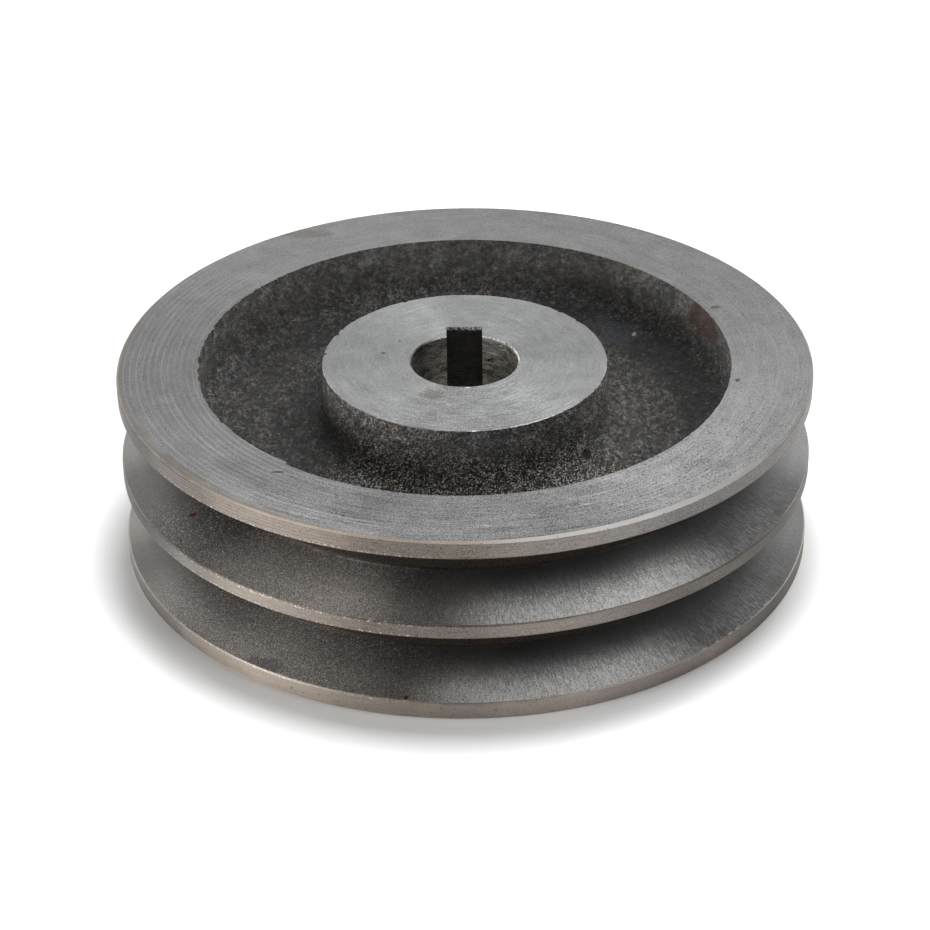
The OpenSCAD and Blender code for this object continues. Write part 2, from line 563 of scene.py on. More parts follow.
# %% [markdown]
# Edges and finishes
# Faces are shaded smooth, and an edge is kept sharp where two turned faces meet at a clear angle. A face
# takes a finish where all of its corners carry that finish's mark: the mark's mean over the face is then
# one, and half of that where only one side of the face has it.

# %% Sharpen the turned edges
SHARP_ANGLE = math.radians(32)
NO_RELIEF = 0.01
smooth = spin.add("GeometryNodeSetShadeSmooth", {0: rough, "Shade Smooth": True}, domain="FACE").outputs[0]
bend = spin.add("GeometryNodeInputMeshEdgeAngle").outputs["Unsigned Angle"]
turned_edge = spin.math("LESS_THAN", carried("relief"), NO_RELIEF)
sharp = spin.product(spin.math("GREATER_THAN", bend, SHARP_ANGLE), turned_edge)
sharp_sockets = {0: smooth, "Selection": sharp, "Shade Smooth": False}
shape = spin.add("GeometryNodeSetShadeSmooth", sharp_sockets, domain="EDGE").outputs[0]
print("turned edges over", round(math.degrees(SHARP_ANGLE)), "degrees stay sharp")

# %% Give each stretch its material and close the tree
WHOLE_FACE = 0.75
finish_material = {name: bpy.data.materials.new(name) for name in FINISHES}
shape = spin.add("GeometryNodeRealizeInstances", {0: shape}).outputs[0]
for name in FINISHES:
    whole_face = spin.math("GREATER_THAN", carried(name), WHOLE_FACE)
    sockets = {"Geometry": shape, "Selection": whole_face, "Material": finish_material[name]}
    shape = spin.add("GeometryNodeSetMaterial", sockets).outputs[0]
spin.add("NodeGroupOutput", {0: shape})
print("finished tree:", len(turning.nodes), "nodes")

# %% [markdown]
# From tree to plain mesh
# The modifier's inputs are set by their identifiers before the object is first evaluated. The result
# then becomes the object's own mesh and the modifier goes, so that the mesh keeps exactly what is
# seen here.

# %% Spin the pulley
modifier = pulley.modifiers.new("spin", "NODES")
modifier.node_group = turning
for name, (kind, value) in tree_inputs.items():
    modifier[identifiers[name]] = value
evaluated = pulley.evaluated_get(bpy.context.evaluated_depsgraph_get())
spun_mesh = bpy.data.meshes.new_from_object(evaluated)
pulley.modifiers.remove(modifier)
pulley.data = spun_mesh
spun_mesh.name = "pulley_casting"
bpy.data.meshes.remove(outline)
print("pulley mesh:", len(spun_mesh.vertices), "points,", len(spun_mesh.polygons), "faces")

# %% Check that the mesh is closed and faces outwards
checked = bmesh.new()
checked.from_mesh(spun_mesh)
volume = checked.calc_volume(signed=True)
if volume < 0:
    bmesh.ops.reverse_faces(checked, faces=checked.faces)
    checked.to_mesh(spun_mesh)
print("closed:", all(edge.is_manifold for edge in checked.edges), "volume", round(volume * 1e6, 2), "cm3")
checked.free()

# %% [markdown]
# Where a point lies on the lathe
# Turning marks run round the axis, so the finishes need a point's radius, its height and its direction
# from the axis. One node group works these out in millimetres from the object's own coordinates, and
# every finish uses it.

# %% Node group with the lathe's coordinates
lathe_group = bpy.data.node_groups.new("lathe_coordinates", "ShaderNodeTree")
for name, kind in (("Place", "Vector"), ("Heading", "Vector"), ("Radius", "Float"), ("Height", "Float")):
    lathe_group.interface.new_socket(name, in_out="OUTPUT", socket_type="NodeSocket" + kind)
lathe = Nodes(lathe_group)
place_mm = lathe.scaled(lathe.add("ShaderNodeTexCoord").outputs["Object"], 1 / MM)
flat = lathe.vector("MULTIPLY", place_mm, (1, 1, 0))
lathe_outputs = {
    0: place_mm,
    1: lathe.vector("NORMALIZE", flat),
    2: lathe.vector("LENGTH", flat),
    3: lathe.parts(place_mm)["Z"],
}
lathe.add("NodeGroupOutput", lathe_outputs)

rim_top = face_width / MM
hub_top = hub_face / MM
lip = outer_radius / MM
root = groove_floor_radius / MM
print("in mm: rim top", round(rim_top, 2), "hub top", round(hub_top, 2), "lip", round(lip, 2))

# %% [markdown]
# Places on the pulley
# A sector is the part of the pulley that faces one way, counted in degrees from the front, with right
# positive: it is full near its middle and gone further out. A spot is a soft patch at one place with a
# ragged edge. Above, below and band pick out a stretch of radius or height. Stains could be painted by
# hand instead, but places given as numbers are easy to move. The finishes also use sectors to paint
# light and shade into their tone round the pulley, as it varies in the photograph.

# %% Helper that picks out places
class Places(Nodes):
    def __init__(self, name):
        self.name = name
        material = finish_material[name]
        material.use_nodes = True
        material.node_tree.nodes.clear()
        super().__init__(material.node_tree)
        coordinates = self.add("ShaderNodeGroup", node_tree=lathe_group).outputs
        self.place, self.heading, self.radius, self.height = coordinates

    def sector(self, middle, full, gone):
        middle = math.radians(middle)
        facing = self.vector("DOT_PRODUCT", self.heading, (math.sin(middle), -math.cos(middle), 0))
        limits = (math.cos(math.radians(gone)), math.cos(math.radians(full)))
        return self.remap(facing, limits, (0.0, 1.0), True)

    def towards(self, middle, full, gone, *factors):
        return self.product(self.sector(middle, full, gone), *factors)

    def above(self, value, limit, soft=0.02):
        return self.remap(value, (limit - soft, limit + soft), (0.0, 1.0))

    def below(self, value, limit, soft=0.02):
        return self.remap(value, (limit - soft, limit + soft), (1.0, 0.0))

    def band(self, value, start, end, soft):
        rise = self.remap(value, (start - soft, start + soft), (0.0, 1.0), True)
        fall = self.remap(value, (end - soft, end + soft), (1.0, 0.0), True)
        return self.product(rise, fall)

    def spot(self, centre, size, ragged=0.35, grain=0.6):
        away = self.vector("DIVIDE", self.vector("SUBTRACT", self.place, centre), size)
        wobble = self.swing(self.noise(self.place, grain, 3.0), ragged)
        reach = self.total(self.vector("LENGTH", away), wobble)
        return self.remap(reach, (0.55, 1.0), (1.0, 0.0), True)

    def spots(self, *strengths_and_spots):
        result = 0.0
        for strength, patch in strengths_and_spots:
            result = self.math("MAXIMUM", result, self.product(patch, strength))
        return result


print("helpers for places:", helpers_of(Places))

# %% [markdown]
# Patterns and colours
# A finish here is colour, roughness and a height for the bump, each built from a few noises. Lines left
# by a tool are a noise that changes fast across the cut and slowly round the axis, and crests are lines
# at one even spacing. Cells are grains, each with a tint of its own, and dots keep only a share of them.

# %% Helper for finishes
class Finish(Places):
    def lines(self, across, per_mm, wander, detail=2.0):
        round_axis = self.scaled(self.heading, wander)
        across_cut = self.xyz(0.0, 0.0, self.product(across, per_mm))
        return self.noise(self.vector("ADD", round_axis, across_cut), 1.0, detail)

    def crests(self, across, spacing, narrow):
        wave = self.math("SINE", self.product(across, 2 * math.pi / spacing))
        return self.math("POWER", self.remap(wave, (-1, 1), (0.0, 1.0)), narrow)

    def cells(self, vector, per_mm):
        made = self.add("ShaderNodeTexVoronoi", {"Vector": vector, "Scale": per_mm}).outputs
        return made["Distance"], self.parts(made["Color"])

    def dots(self, per_mm, share, size):
        distance, tint = self.cells(self.place, per_mm)
        return self.product(self.math("LESS_THAN", tint["X"], share), self.below(distance, size, 0.06))

    def mix(self, factor, first, second, way="MIX"):
        made = self.add("ShaderNodeMix", {0: factor, 6: first, 7: second}, data_type="RGBA", blend_type=way)
        return made.outputs[2]

    def bright(self, colour, factor):
        return self.mix(1.0, colour, self.xyz(factor, factor, factor), "MULTIPLY")

    def tell(self, made):
        print(f"{self.name}: {made}, {len(self.tree.nodes)} nodes")

    def close(self, colour, roughness, height, across=None, **fixed):
        bump = self.add("ShaderNodeBump", {"Height": height, "Distance": MM, "Strength": 1.0}).outputs[0]
        sockets = {"Base Color": colour, "Roughness": roughness, "Normal": bump}
        if across is not None:
            sockets["Tangent"] = across
        shader = self.add("ShaderNodeBsdfPrincipled", sockets)
        for socket, value in fixed.items():
            shader.inputs[socket.title()].default_value = value
        self.add("ShaderNodeOutputMaterial", {"Surface": shader.outputs[0]})
        self.tell("closed")


def grey(level, warmth=0.0):
    return (level * (1 + warmth), level, level * (1 - warmth), 1.0)


print("helpers for finishes:", helpers_of(Finish))

# %% [markdown]
# Turned faces
# The rim's and the hub's faces were faced off in the lathe. Up close the iron is finely grained. On the
# left, and more faintly at the front, the tool chattered and left thin light rings, and small open pores
# show at the front right. Oil and rust left a few brown stains. A picture of real iron could be mapped
# on, but noises in the lathe's coordinates fit every face and never repeat.

# %% Grain, rings and pores of the turned faces
RING_SPACING = 1.4
face = Finish("turned_face")
on_rim_face = face.remap(face.radius, (45, 50), (0.0, 1.0))
to_front = face.sector(10, 26, 60)
grain = face.noise(face.place, 7.0, 0.0)
fine = face.lines(face.radius, 2.8, 5.0)
broad = face.lines(face.radius, 0.6, 2.0)
mottle = face.noise(face.place, 0.16, 4.0, 0.6)
ring_waver = face.swing(face.noise(face.heading, 2.2), 0.25)
rings = face.crests(face.total(face.radius, ring_waver), RING_SPACING, 6.0)
ring_side = face.total(face.towards(-84, 26, 62, 0.3), face.towards(-12, 24, 58, 0.2))
rings = face.product(rings, ring_side, on_rim_face, face.remap(broad, (0.3, 0.6), (0.3, 1.0)))
pore_limit = face.blend(face.towards(38, 18, 50, on_rim_face), 0.21, 0.285)
pores = face.math("LESS_THAN", face.noise(face.place, 3.0, 0.0), pore_limit)
face.tell("grain, rings and pores")

# %% Tones of the turned faces, with painted light and shade
inner_rim = face.below(face.radius, 71, 2)
# Painted light and shade: the rim and the hub are lighter or darker by sector round the axis
rim_light_and_shade = face.total(
    1.04,
    face.towards(2, 8, 32, -0.31),
    face.towards(-92, 6, 30, -0.12),
    face.towards(64, 20, 50, 0.18),
    face.towards(165, 10, 40, -0.08),
    face.towards(-30, 9, 26, inner_rim, -0.16),
    face.towards(60, 12, 30, inner_rim, 0.18),
)
hub_light_and_shade = face.total(
    1.10,
    face.towards(0, 6, 30, -0.18),
    face.towards(-58, 10, 36, 0.12),
    face.towards(60, 14, 40, 0.18),
    face.towards(180, 5, 22, -0.13),
    face.towards(-150, 8, 26, 0.12),
)
grain_size = face.total(0.8, face.product(to_front, 0.9), face.towards(42, 12, 30, -0.4))
marks = face.total(
    1.0,
    face.swing(grain, face.product(grain_size, face.blend(on_rim_face, 0.6, 1.0))),
    face.swing(fine, face.blend(to_front, 0.14, 0.5)),
    face.swing(broad, 0.08),
    face.swing(mottle, 0.08),
    rings,
)
hub_colour = face.bright(grey(0.375, -0.008), hub_light_and_shade)
rim_colour = face.bright(grey(0.335), rim_light_and_shade)
colour = face.mix(on_rim_face, hub_colour, rim_colour)
colour = face.bright(colour, face.math("MAXIMUM", marks, 0.1))
colour = face.mix(face.product(pores, 0.75), colour, grey(0.06))
face.tell("tones")

# %% Brown stains on the turned faces
left_rim = face.above(face.radius, 75.2, 0.6)
left_rim_stain = face.product(face.spot((-60.5, -47.4, rim_top), (10, 10, 4)), left_rim)
stain = face.spots(
    (0.38, face.spot((-38, 63.5, rim_top), (8, 2.6, 4))),
    (0.22, face.spot((-16, 74, rim_top), (4, 1.4, 4))),
    (0.20, face.spot((51.7, -47.7, rim_top), (5, 3.5, 4), 0.8, 1.2)),
    (0.50, face.spot((-7.2, -15.4, hub_top), (3.2, 2.8, 4), 0.8, 0.8)),
    (0.40, face.spot((-7.2, -24.2, hub_top), (1.5, 1.8, 4), 0.6, 1.0)),
    (0.55, left_rim_stain),
)
stained = face.mix(face.above(grain, 0.5, 0.1), (0.15, 0.12, 0.085, 1), (0.27, 0.225, 0.17, 1))
colour = face.mix(stain, colour, stained)
left_edge = face.towards(-62, 30, 60, face.above(face.radius, 75.8, 0.5))
colour = face.mix(face.product(left_edge, 0.5), colour, (0.33, 0.285, 0.24, 1))
face.tell("stains")

# %% Rust spots, bright scratches and a painted glint on the turned faces
rust = face.spots(
    (0.6, face.spot((57.7, 23, rim_top), (1.3, 0.9, 3), 0.8, 1.5)),
    (0.8, face.spot((60, -11.7, rim_top), (0.7, 0.7, 3), 0.5, 1.5)),
    (0.7, face.spot((-18.3, 3.75, hub_top), (0.7, 0.6, 3))),
    (0.6, face.spot((-14.6, 9.4, hub_top), (0.5, 0.5, 3))),
    (0.9, face.spot((-39.3, -49, rim_top), (1.6, 0.45, 3), 0.2)),
)
colour = face.mix(rust, colour, (0.085, 0.05, 0.042, 1))
scratches_and_glint = face.spots(
    (0.8, face.spot((24.3, -63.2, rim_top), (1.5, 0.15, 3), 0.2)),
    (0.6, face.spot((13.7, -67.3, rim_top), (1.2, 0.15, 3), 0.2)),
    (0.3, face.spot((4, -71, rim_top), (4, 0.15, 3), 0.4)),
    # The last spot, at the bore's near edge, is a painted glint
    (1.0, face.spot((0.6, -12.6, hub_top), (0.9, 0.28, 3), 0.3, 1.5)),
)
colour = face.mix(scratches_and_glint, colour, grey(0.75))
face.tell("rust and scratches")

# %% Close the finish of the turned faces
roughness = face.total(0.40, face.swing(fine, 0.08), face.swing(mottle, 0.08))
height = face.total(
    face.product(fine, 0.010),
    face.product(grain, 0.006),
    face.product(rings, 0.008),
    face.product(pores, -0.05),
)
face.close(colour, roughness, height, face.heading, metallic=1.0, anisotropic=0.2)

# %% [markdown]
# Turned lands
# The three narrow lands and the chamfers were turned too, so their lines run round the rim, clearest on
# the left. They are tinted tan, more neutral at the right and at the left, and their tone carries painted
# light and shade round the rim, with painted highlights on the chamfers. Their edges are nicked: small
# dark chips, and bright burrs drawn as painted glints at the front left. The chips are too small to be
# worth faces of their own, so the material draws them along the heights where a land ends.

# %% Lines, tones and painted light of the lands
land = Finish("turned_land")
top_land = land.above(land.height, 39, 1)
lower_lands = land.below(land.height, 30, 2)
across_land = land.total(land.height, land.radius)
fine = land.lines(across_land, 4.5, 14.0, 3.0)
grain = land.noise(land.place, 4.6, 2.0, 0.6)
mottle = land.noise(land.place, 0.3, 4.0, 0.6)
line_waver = land.swing(land.noise(land.heading, 5.0), 0.2)
tool_lines = land.crests(land.total(across_land, line_waver), 0.8, 3.0)
tool_lines = land.towards(-62, 25, 60, tool_lines, top_land)
bevels = land.below(land.radius, lip - 0.05, 0.03)
filed_bevel = land.towards(30, 12, 34, bevels, land.above(land.height, 42, 0.2))
# The level also holds painted light: lower lands lighter, painted highlights on the chamfers and lower
# bevels, and lighter and darker sectors round the rim
level = land.total(
    land.remap(land.height, (3, 12), (1.36, 0.64)),
    land.swing(fine, 0.35),
    land.swing(grain, 0.9),
    land.swing(mottle, 0.15),
    land.product(tool_lines, 0.25),
    land.product(bevels, land.above(land.height, 41, 1), 0.7),
    land.product(bevels, land.below(land.height, 39, 1), land.blend(land.sector(0, 45, 70), 1.2, 0.1)),
    land.product(filed_bevel, 0.2),
    land.towards(-31, 4, 16, 0.35),
    land.towards(-42, 6, 16, lower_lands, 0.3),
    land.towards(17, 6, 18, 0.25),
    land.towards(-38, 8, 18, land.below(land.height, 10, 2), 0.3),
)
land.tell("lines and tones")

# %% Painted shade and tan tint of the lands
# Painted shade: darker sectors on the lands, kept off the bevels
painted_shade = land.total(
    land.towards(88, 24, 46, lower_lands, -0.66),
    land.towards(37, 8, 20, lower_lands, -0.22),
    land.towards(-90, 16, 40, land.band(land.height, 18, 30, 2), -0.8),
    land.towards(-76, 8, 22, top_land, -0.6),
)
painted_shade_scale = land.total(1.0, land.product(painted_shade, land.math("SUBTRACT", 1.0, bevels)))
neutral = land.towards(60, 25, 65, land.blend(lower_lands, 1.0, 0.45))
neutral = land.math("MAXIMUM", neutral, land.towards(-78, 14, 40, 0.8))
film = land.mix(neutral, (0.262, 0.226, 0.194, 1), (0.25, 0.238, 0.226, 1))
colour = land.bright(film, land.product(level, painted_shade_scale))
colour = land.mix(land.product(filed_bevel, 0.7), colour, grey(0.43, 0.01))
land.tell("film")

# %% Chips, pits and painted burr glints of the lands
EDGE_HALF_WIDTH = 0.3
edge_share = 0.0
for land_end in land_ends:
    end_mm = land_end / MM
    at_edge = land.band(land.height, end_mm - EDGE_HALF_WIDTH, end_mm + EDGE_HALF_WIDTH, 0.08)
    edge_share = land.math("MAXIMUM", edge_share, at_edge)
chips = land.product(edge_share, land.below(land.noise(land.place, 1.3, 2.0, 0.6), 0.28))
# Burrs are bright painted glints, kept to the front left
burr_glints = land.product(edge_share, land.above(land.noise(land.place, 2.2, 2.0, 0.6), 0.60))
burr_glints = land.towards(-32, 12, 32, burr_glints)
pits = land.math("LESS_THAN", land.noise(land.place, 1.7, 0.0), 0.215)
hollows = land.math("MAXIMUM", land.product(chips, 0.6), land.product(pits, 0.5))
colour = land.mix(hollows, colour, grey(0.05, 0.1))
colour = land.mix(land.product(burr_glints, 0.7), colour, grey(0.85, 0.03))
land.tell("chips, burrs and pits")

# %% Close the finish of the lands
AXIS = (0.0, 0.0, 1.0)
roughness = land.total(0.45, land.product(bevels, 0.2), land.swing(fine, 0.10), land.swing(mottle, 0.08))
height = land.total(land.product(fine, 0.015), land.product(grain, 0.015), land.product(tool_lines, 0.012))
land.close(colour, roughness, height, land.xyz(*AXIS), metallic=1.0, anisotropic=0.35)

# %% [markdown]
# Groove flanks
# A form tool cut the flanks. It chattered and left short dashes that run up and down the flank. A painted
# highlight brightens the front right, and painted light and shade vary the tone round the pulley and
# darken it towards the floor. The left keeps a sandy grain with bright specks, painted as glints. Down at
# the floor the iron is brown and pitted and painted darker as shade, with a faint painted glint line in
# the upper groove's corners. Dark and light marks are counted in powers of two, so that a strong mark
# never turns the colour negative.

# %% Dashes, grain and painted highlight of the flanks
DASHES_ROUND = 230.0
flank = Finish("groove_flank")
in_upper_groove = flank.above(flank.height, rim_top / 2, 0.5)
drift = flank.add("ShaderNodeTexNoise", {"Vector": flank.place, "Scale": 0.5}).outputs["Color"]
drift = flank.scaled(flank.vector("SUBTRACT", drift, (0.5, 0.5, 0.5)), 2.0)
along_dash = flank.xyz(0.0, 0.0, flank.product(flank.radius, 0.6))
dash_place = flank.vector("ADD", flank.scaled(flank.heading, DASHES_ROUND), along_dash)
dashes = flank.noise(flank.vector("ADD", dash_place, drift), 1.0, 1.0)
dashes = flank.remap(dashes, (0.42, 0.62), (0.0, 1.0))
fine = flank.lines(flank.radius, 3.0, 9.0, 3.0)
grain = flank.noise(flank.place, 5.4, 1.0, 0.6)
mottle = flank.noise(flank.place, 0.2, 4.0, 0.6)
# Painted highlight: a brighter patch near the lip at the front right of each groove
painted_highlight = flank.blend(in_upper_groove, flank.sector(15, 5, 28), flank.sector(22, 7, 28))
painted_highlight = flank.product(painted_highlight, flank.remap(flank.radius, (65, 75), (0.1, 1.0), True))
near_lip = flank.remap(flank.radius, (65, 73), (0.25, 1.0))
dash_size = flank.product(flank.total(0.10, flank.towards(34, 20, 44, 0.28)), near_lip)
grain_size = flank.total(0.65, flank.towards(-34, 16, 40, 3.0), flank.product(painted_highlight, 2.4))
flank.tell("dashes, grain and polish")

# %% Tones of the flanks, with painted light and shade
marks = flank.total(
    flank.swing(dashes, dash_size),
    flank.swing(grain, grain_size),
    flank.swing(fine, 0.15),
    flank.swing(mottle, 0.15),
)
lower_light_weight = flank.blend(in_upper_groove, 0.5, 1.0)
# Painted light: lighter and darker sectors round the pulley, and the painted highlight
painted_light = flank.total(
    0.74,
    flank.product(painted_highlight, 2.5),
    flank.towards(-30, 6, 20, 0.75, lower_light_weight),
    flank.towards(-12, 8, 22, 0.4, lower_light_weight),
    flank.towards(-48, 8, 24, flank.blend(in_upper_groove, 0.55, 0.05)),
    flank.towards(-98, 8, 22, 0.6),
    flank.towards(45, 6, 18, 0.33),
    flank.towards(96, 10, 26, flank.blend(in_upper_groove, 0.25, 0.7)),
)
# Painted shade: darker towards the groove's floor
depth_shade = flank.remap(flank.radius, (root, lip - 3.4), (0.42, 1.015))
level = flank.product(flank.math("POWER", 2.0, marks), painted_light, depth_shade)
iron = flank.mix(flank.sector(50, 30, 70), grey(0.275, 0.045), grey(0.255, 0.008))
colour = flank.bright(iron, level)
flank.tell("tones")

# %% Painted glints, and the pitted floor painted dark as shade, in the grooves
# Bright specks on the left flanks are painted glints
speck_glints = flank.towards(-36, 14, 34, flank.dots(3.4, 0.2, 0.36))
colour = flank.mix(flank.product(speck_glints, 0.9), colour, grey(0.95, 0.04))
on_floor = flank.below(flank.radius, root + 0.35, 0.15)
# The floor is brown and pitted, and painted dark as shade
pitted_and_shaded = flank.mix(flank.above(grain, 0.52, 0.12), (0.022, 0.018, 0.015, 1), (0.062, 0.050, 0.041, 1))
colour = flank.mix(on_floor, colour, pitted_and_shaded)
corner_dashes = flank.above(flank.lines(flank.radius, 0.1, 60.0), 0.48, 0.05)
at_corner = flank.band(flank.radius, root + 0.25, root + 0.6, 0.12)
# A faint painted glint line in the upper groove's corner
corner_glint = flank.towards(-22, 6, 16, at_corner, corner_dashes, in_upper_groove)
colour = flank.mix(flank.product(corner_glint, 0.15), colour, grey(0.85))
lip_dashes = flank.above(flank.lines(flank.height, 0.2, 55.0, 3.0), 0.56, 0.04)
lower_lip_side = flank.towards(44, 8, 18, flank.below(flank.height, 20, 1))
lip_glint_sides = flank.spots((0.8, flank.sector(-22, 6, 15)), (0.8, lower_lip_side))
# Painted glints along parts of the lips
lip_glint = flank.product(flank.above(flank.radius, lip - 0.5, 0.1), lip_dashes, lip_glint_sides)
colour = flank.mix(lip_glint, colour, grey(0.9))
flank.tell("specks, floor and edge lines")

# %% Stains of the grooves
blue_stain = flank.spot((-43.5, -63.3, 4.2), (6.5, 4.2, 1.6), 0.5, 0.8)
colour = flank.mix(flank.product(blue_stain, 0.4), colour, (0.06, 0.065, 0.085, 1))
rust = flank.spots(
    (0.9, flank.spot((-58.9, -36.9, 25.8), (1.3, 0.7, 1.2), 0.6, 1.2)),
    (0.8, flank.spot((-13, -75.5, 4.3), (0.7, 0.7, 0.8), 0.5, 1.2)),
)
colour = flank.mix(rust, colour, (0.16, 0.035, 0.02, 1))
flank.tell("stains")

# %% Close the finish of the grooves
roughness = flank.total(
    0.45,
    flank.swing(grain, 0.12),
    flank.swing(mottle, 0.08),
    flank.product(painted_highlight, -0.05),
)
height = flank.total(
    flank.product(dashes, dash_size, 0.06),
    flank.product(grain, 0.03),
    flank.product(fine, 0.008),
)
flank.close(colour, roughness, height, flank.heading, metallic=1.0, anisotropic=0.4)

# %% [markdown]
# Cast skin
# The recess was never machined. Its skin keeps the grain of the sand, dark with burnt sand and oxide.
# The grains differ in brightness and tint, and single ones glint, most of all low on the hub's front.
# Rust and a bluish scale show in places. Real grains stand up a little, so they don't look flattened
# when they are seen at a slant. Modelling each one would take millions of faces, so the pattern is drawn
# out along one direction instead, which slants up to the front and makes up for the foreshortening
# there. From the sides the grains look a little long for it.

# %% Grains of the cast skin
SLANT_ANGLE = math.radians(30)
SLANT = (0.0, -math.cos(SLANT_ANGLE), math.sin(SLANT_ANGLE))
STRETCH = 0.6
skin = Finish("cast_skin")
along_slant = skin.vector("DOT_PRODUCT", skin.place, SLANT)
grain_place = skin.vector("SUBTRACT", skin.place, skin.scaled(SLANT, skin.product(along_slant, STRETCH)))
grain_distance, grain_tint = skin.cells(grain_place, 3.8)
lump_tint = skin.cells(grain_place, 1.7)[1]
clumps = skin.noise(grain_place, 0.75, 2.0, 0.6)
mottle = skin.noise(skin.place, 0.3, 3.0, 0.6)
hub_foot = skin.product(skin.remap(skin.height, (31, 38), (1.0, 0.25)), skin.below(skin.radius, 46, 4))
hub_foot = skin.towards(2, 35, 70, hub_foot)
upper_rim_wall = skin.product(skin.above(skin.radius, 56, 1), skin.above(skin.height, 34, 2))
calm = skin.product(skin.blend(upper_rim_wall, 1.0, 0.6), skin.remap(skin.height, (29, 36), (1.0, 0.72)))
stops = skin.total(
    skin.swing(grain_tint["X"], skin.total(skin.product(calm, 0.8), skin.product(hub_foot, 3.8))),
    skin.swing(lump_tint["X"], skin.product(calm, skin.blend(hub_foot, 1.25, 0.2))),
    skin.swing(clumps, skin.blend(hub_foot, 1.3, 0.6)),
    skin.swing(mottle, 1.4),
)
skin.tell("grains")

# %% Tones of the cast skin, with painted light and shade
near_hub = skin.below(skin.radius, 41, 3)
upper_hub = skin.product(near_hub, skin.above(skin.height, 36, 3))
lower_hub = skin.product(near_hub, skin.below(skin.height, 36, 3))
hub_front = skin.product(near_hub, skin.above(skin.height, 35, 2))
rim_foot = skin.product(skin.band(skin.radius, 49, 58, 2.5), skin.below(skin.height, 36, 4))
# Painted light and shade: lighter and darker sectors round the hub and the rim's foot, darker low on the
# hub's front, and a painted shadow left of the hub
painted_light_and_shade = skin.total(
    1.0,
    skin.towards(84, 22, 42, near_hub, 0.45),
    skin.towards(-58, 24, 46, upper_hub, 0.35),
    skin.towards(-26, 22, 42, hub_front, 0.4),
    skin.product(hub_foot, -0.45),
    skin.towards(-92, 22, 48, lower_hub, -0.5),
    skin.towards(122, 28, 56, rim_foot, -0.65),
    skin.towards(-134, 10, 24, rim_foot, -0.4),
    skin.towards(-150, 16, 36, upper_rim_wall, 0.4),
    skin.towards(124, 10, 24, upper_rim_wall, 0.45),
)
# Painted light: the walls get lighter upwards
wall_light = skin.remap(skin.height, (28.5, 40), (0.64, 2.6))
level = skin.product(skin.math("POWER", 2.0, stops), wall_light, painted_light_and_shade)
tint = skin.total(skin.product(lump_tint["Y"], 0.6), skin.product(skin.noise(skin.place, 0.5), 0.4))
tint = skin.remap(tint, (0.3, 0.7), (0, 1))
colour = skin.mix(tint, (0.055, 0.046, 0.037, 1), (0.0445, 0.0475, 0.0505, 1))
colour = skin.bright(colour, level)
skin.tell("tones")

# %% Glints and pale grains of the cast skin
rusty_grain = skin.math("GREATER_THAN", grain_tint["Y"], 0.8)
glints = skin.math("GREATER_THAN", grain_tint["Z"], skin.blend(hub_foot, 0.992, 0.87))
glints = skin.product(glints, skin.below(grain_distance, 0.42, 0.1))
glint_tone = skin.mix(rusty_grain, (0.48, 0.46, 0.43, 1), (0.55, 0.30, 0.09, 1))
colour = skin.mix(skin.product(glints, skin.blend(hub_foot, 0.35, 1.0)), colour, glint_tone)
pale_grains = skin.dots(1.0, 0.10, 0.24)
pale_tone = skin.mix(rusty_grain, grey(0.19, 0.02), (0.18, 0.10, 0.055, 1))
colour = skin.mix(skin.product(pale_grains, 0.5), colour, pale_tone)
skin.tell("glints and pale grains")

# %% Rust, scale and single marks of the cast skin
rust = skin.spot((55.5, 22, 41.5), (6, 11, 5.5), 0.5, 0.25)
colour = skin.mix(skin.product(rust, 0.7), colour, (0.105, 0.05, 0.039, 1))
scale = skin.spots(
    (0.6, skin.spot((36, 41, 28), (7, 8, 3), 0.9, 0.35)),
    (0.5, skin.spot((48, 34, 40), (6, 6, 5), 0.7, 0.3)),
    (0.5, skin.spot((2, -32.5, 40), (14, 4, 4), 0.8, 0.4)),
)
colour = skin.mix(skin.product(scale, 0.6), colour, (0.040, 0.050, 0.062, 1))
pit = skin.spot((26.6, -20.2, 29.8), (1.5, 1.5, 1.6), 0.2)
colour = skin.mix(pit, colour, grey(0.006))
light_specks = skin.spots(
    (0.8, skin.spot((23.9, 54.2, 40.2), (0.7, 0.7, 0.7), 0.2)),
    (0.8, skin.spot((40.3, 38.3, 28.6), (0.7, 0.7, 0.7), 0.2)),
    (0.7, skin.spot((24.8, -20.6, 32.2), (0.5, 0.5, 1.1), 0.2)),
)
colour = skin.mix(light_specks, colour, grey(0.3))
skin.tell("rust, scale and single marks")

# %% Close the finish of the cast skin
roughness = skin.total(0.72, skin.product(glints, -0.3))
height = skin.total(skin.product(clumps, 0.3), skin.product(grain_distance, -0.3), skin.product(pit, -0.6))
skin.close(colour, roughness, height, metallic=0.15)

# %% [markdown]
# Bored wall
# The bore was drilled and reamed and the keyway broached. Torn lines run round its wall, its left wall
# and far left edge are painted darker as shade, and the keyway is painted nearly black as shade. The
# tool raised small burrs along the upper edge, drawn as bright painted glints. The bore and the keyway
# are one stretch of the outline, so the material tells them apart by place.

# %% Torn lines of the bore
bore = Finish("bored_wall")
wavy_height = bore.total(bore.height, bore.swing(bore.noise(bore.place, 0.4), 1.6))
fine = bore.lines(wavy_height, 3.0, 5.0)
tears = bore.lines(wavy_height, 1.1, 3.0, 3.0)
grit = bore.noise(bore.place, 3.5, 1.0, 0.6)
torn_line = bore.spot((6.2, 10.3, 39.0), (1.7, 1.7, 0.3), 0.2)
to_left = bore.sector(-90, 30, 85)
upper_edge = bore.above(bore.height, hub_top - 0.75, 0.3)
far_left_edge = bore.towards(-135, 30, 65, upper_edge)
level = bore.total(
    1.0,
    bore.swing(fine, 1.2),
    bore.swing(tears, 1.3),
    bore.swing(grit, 1.3),
    bore.product(torn_line, 1.6),
)
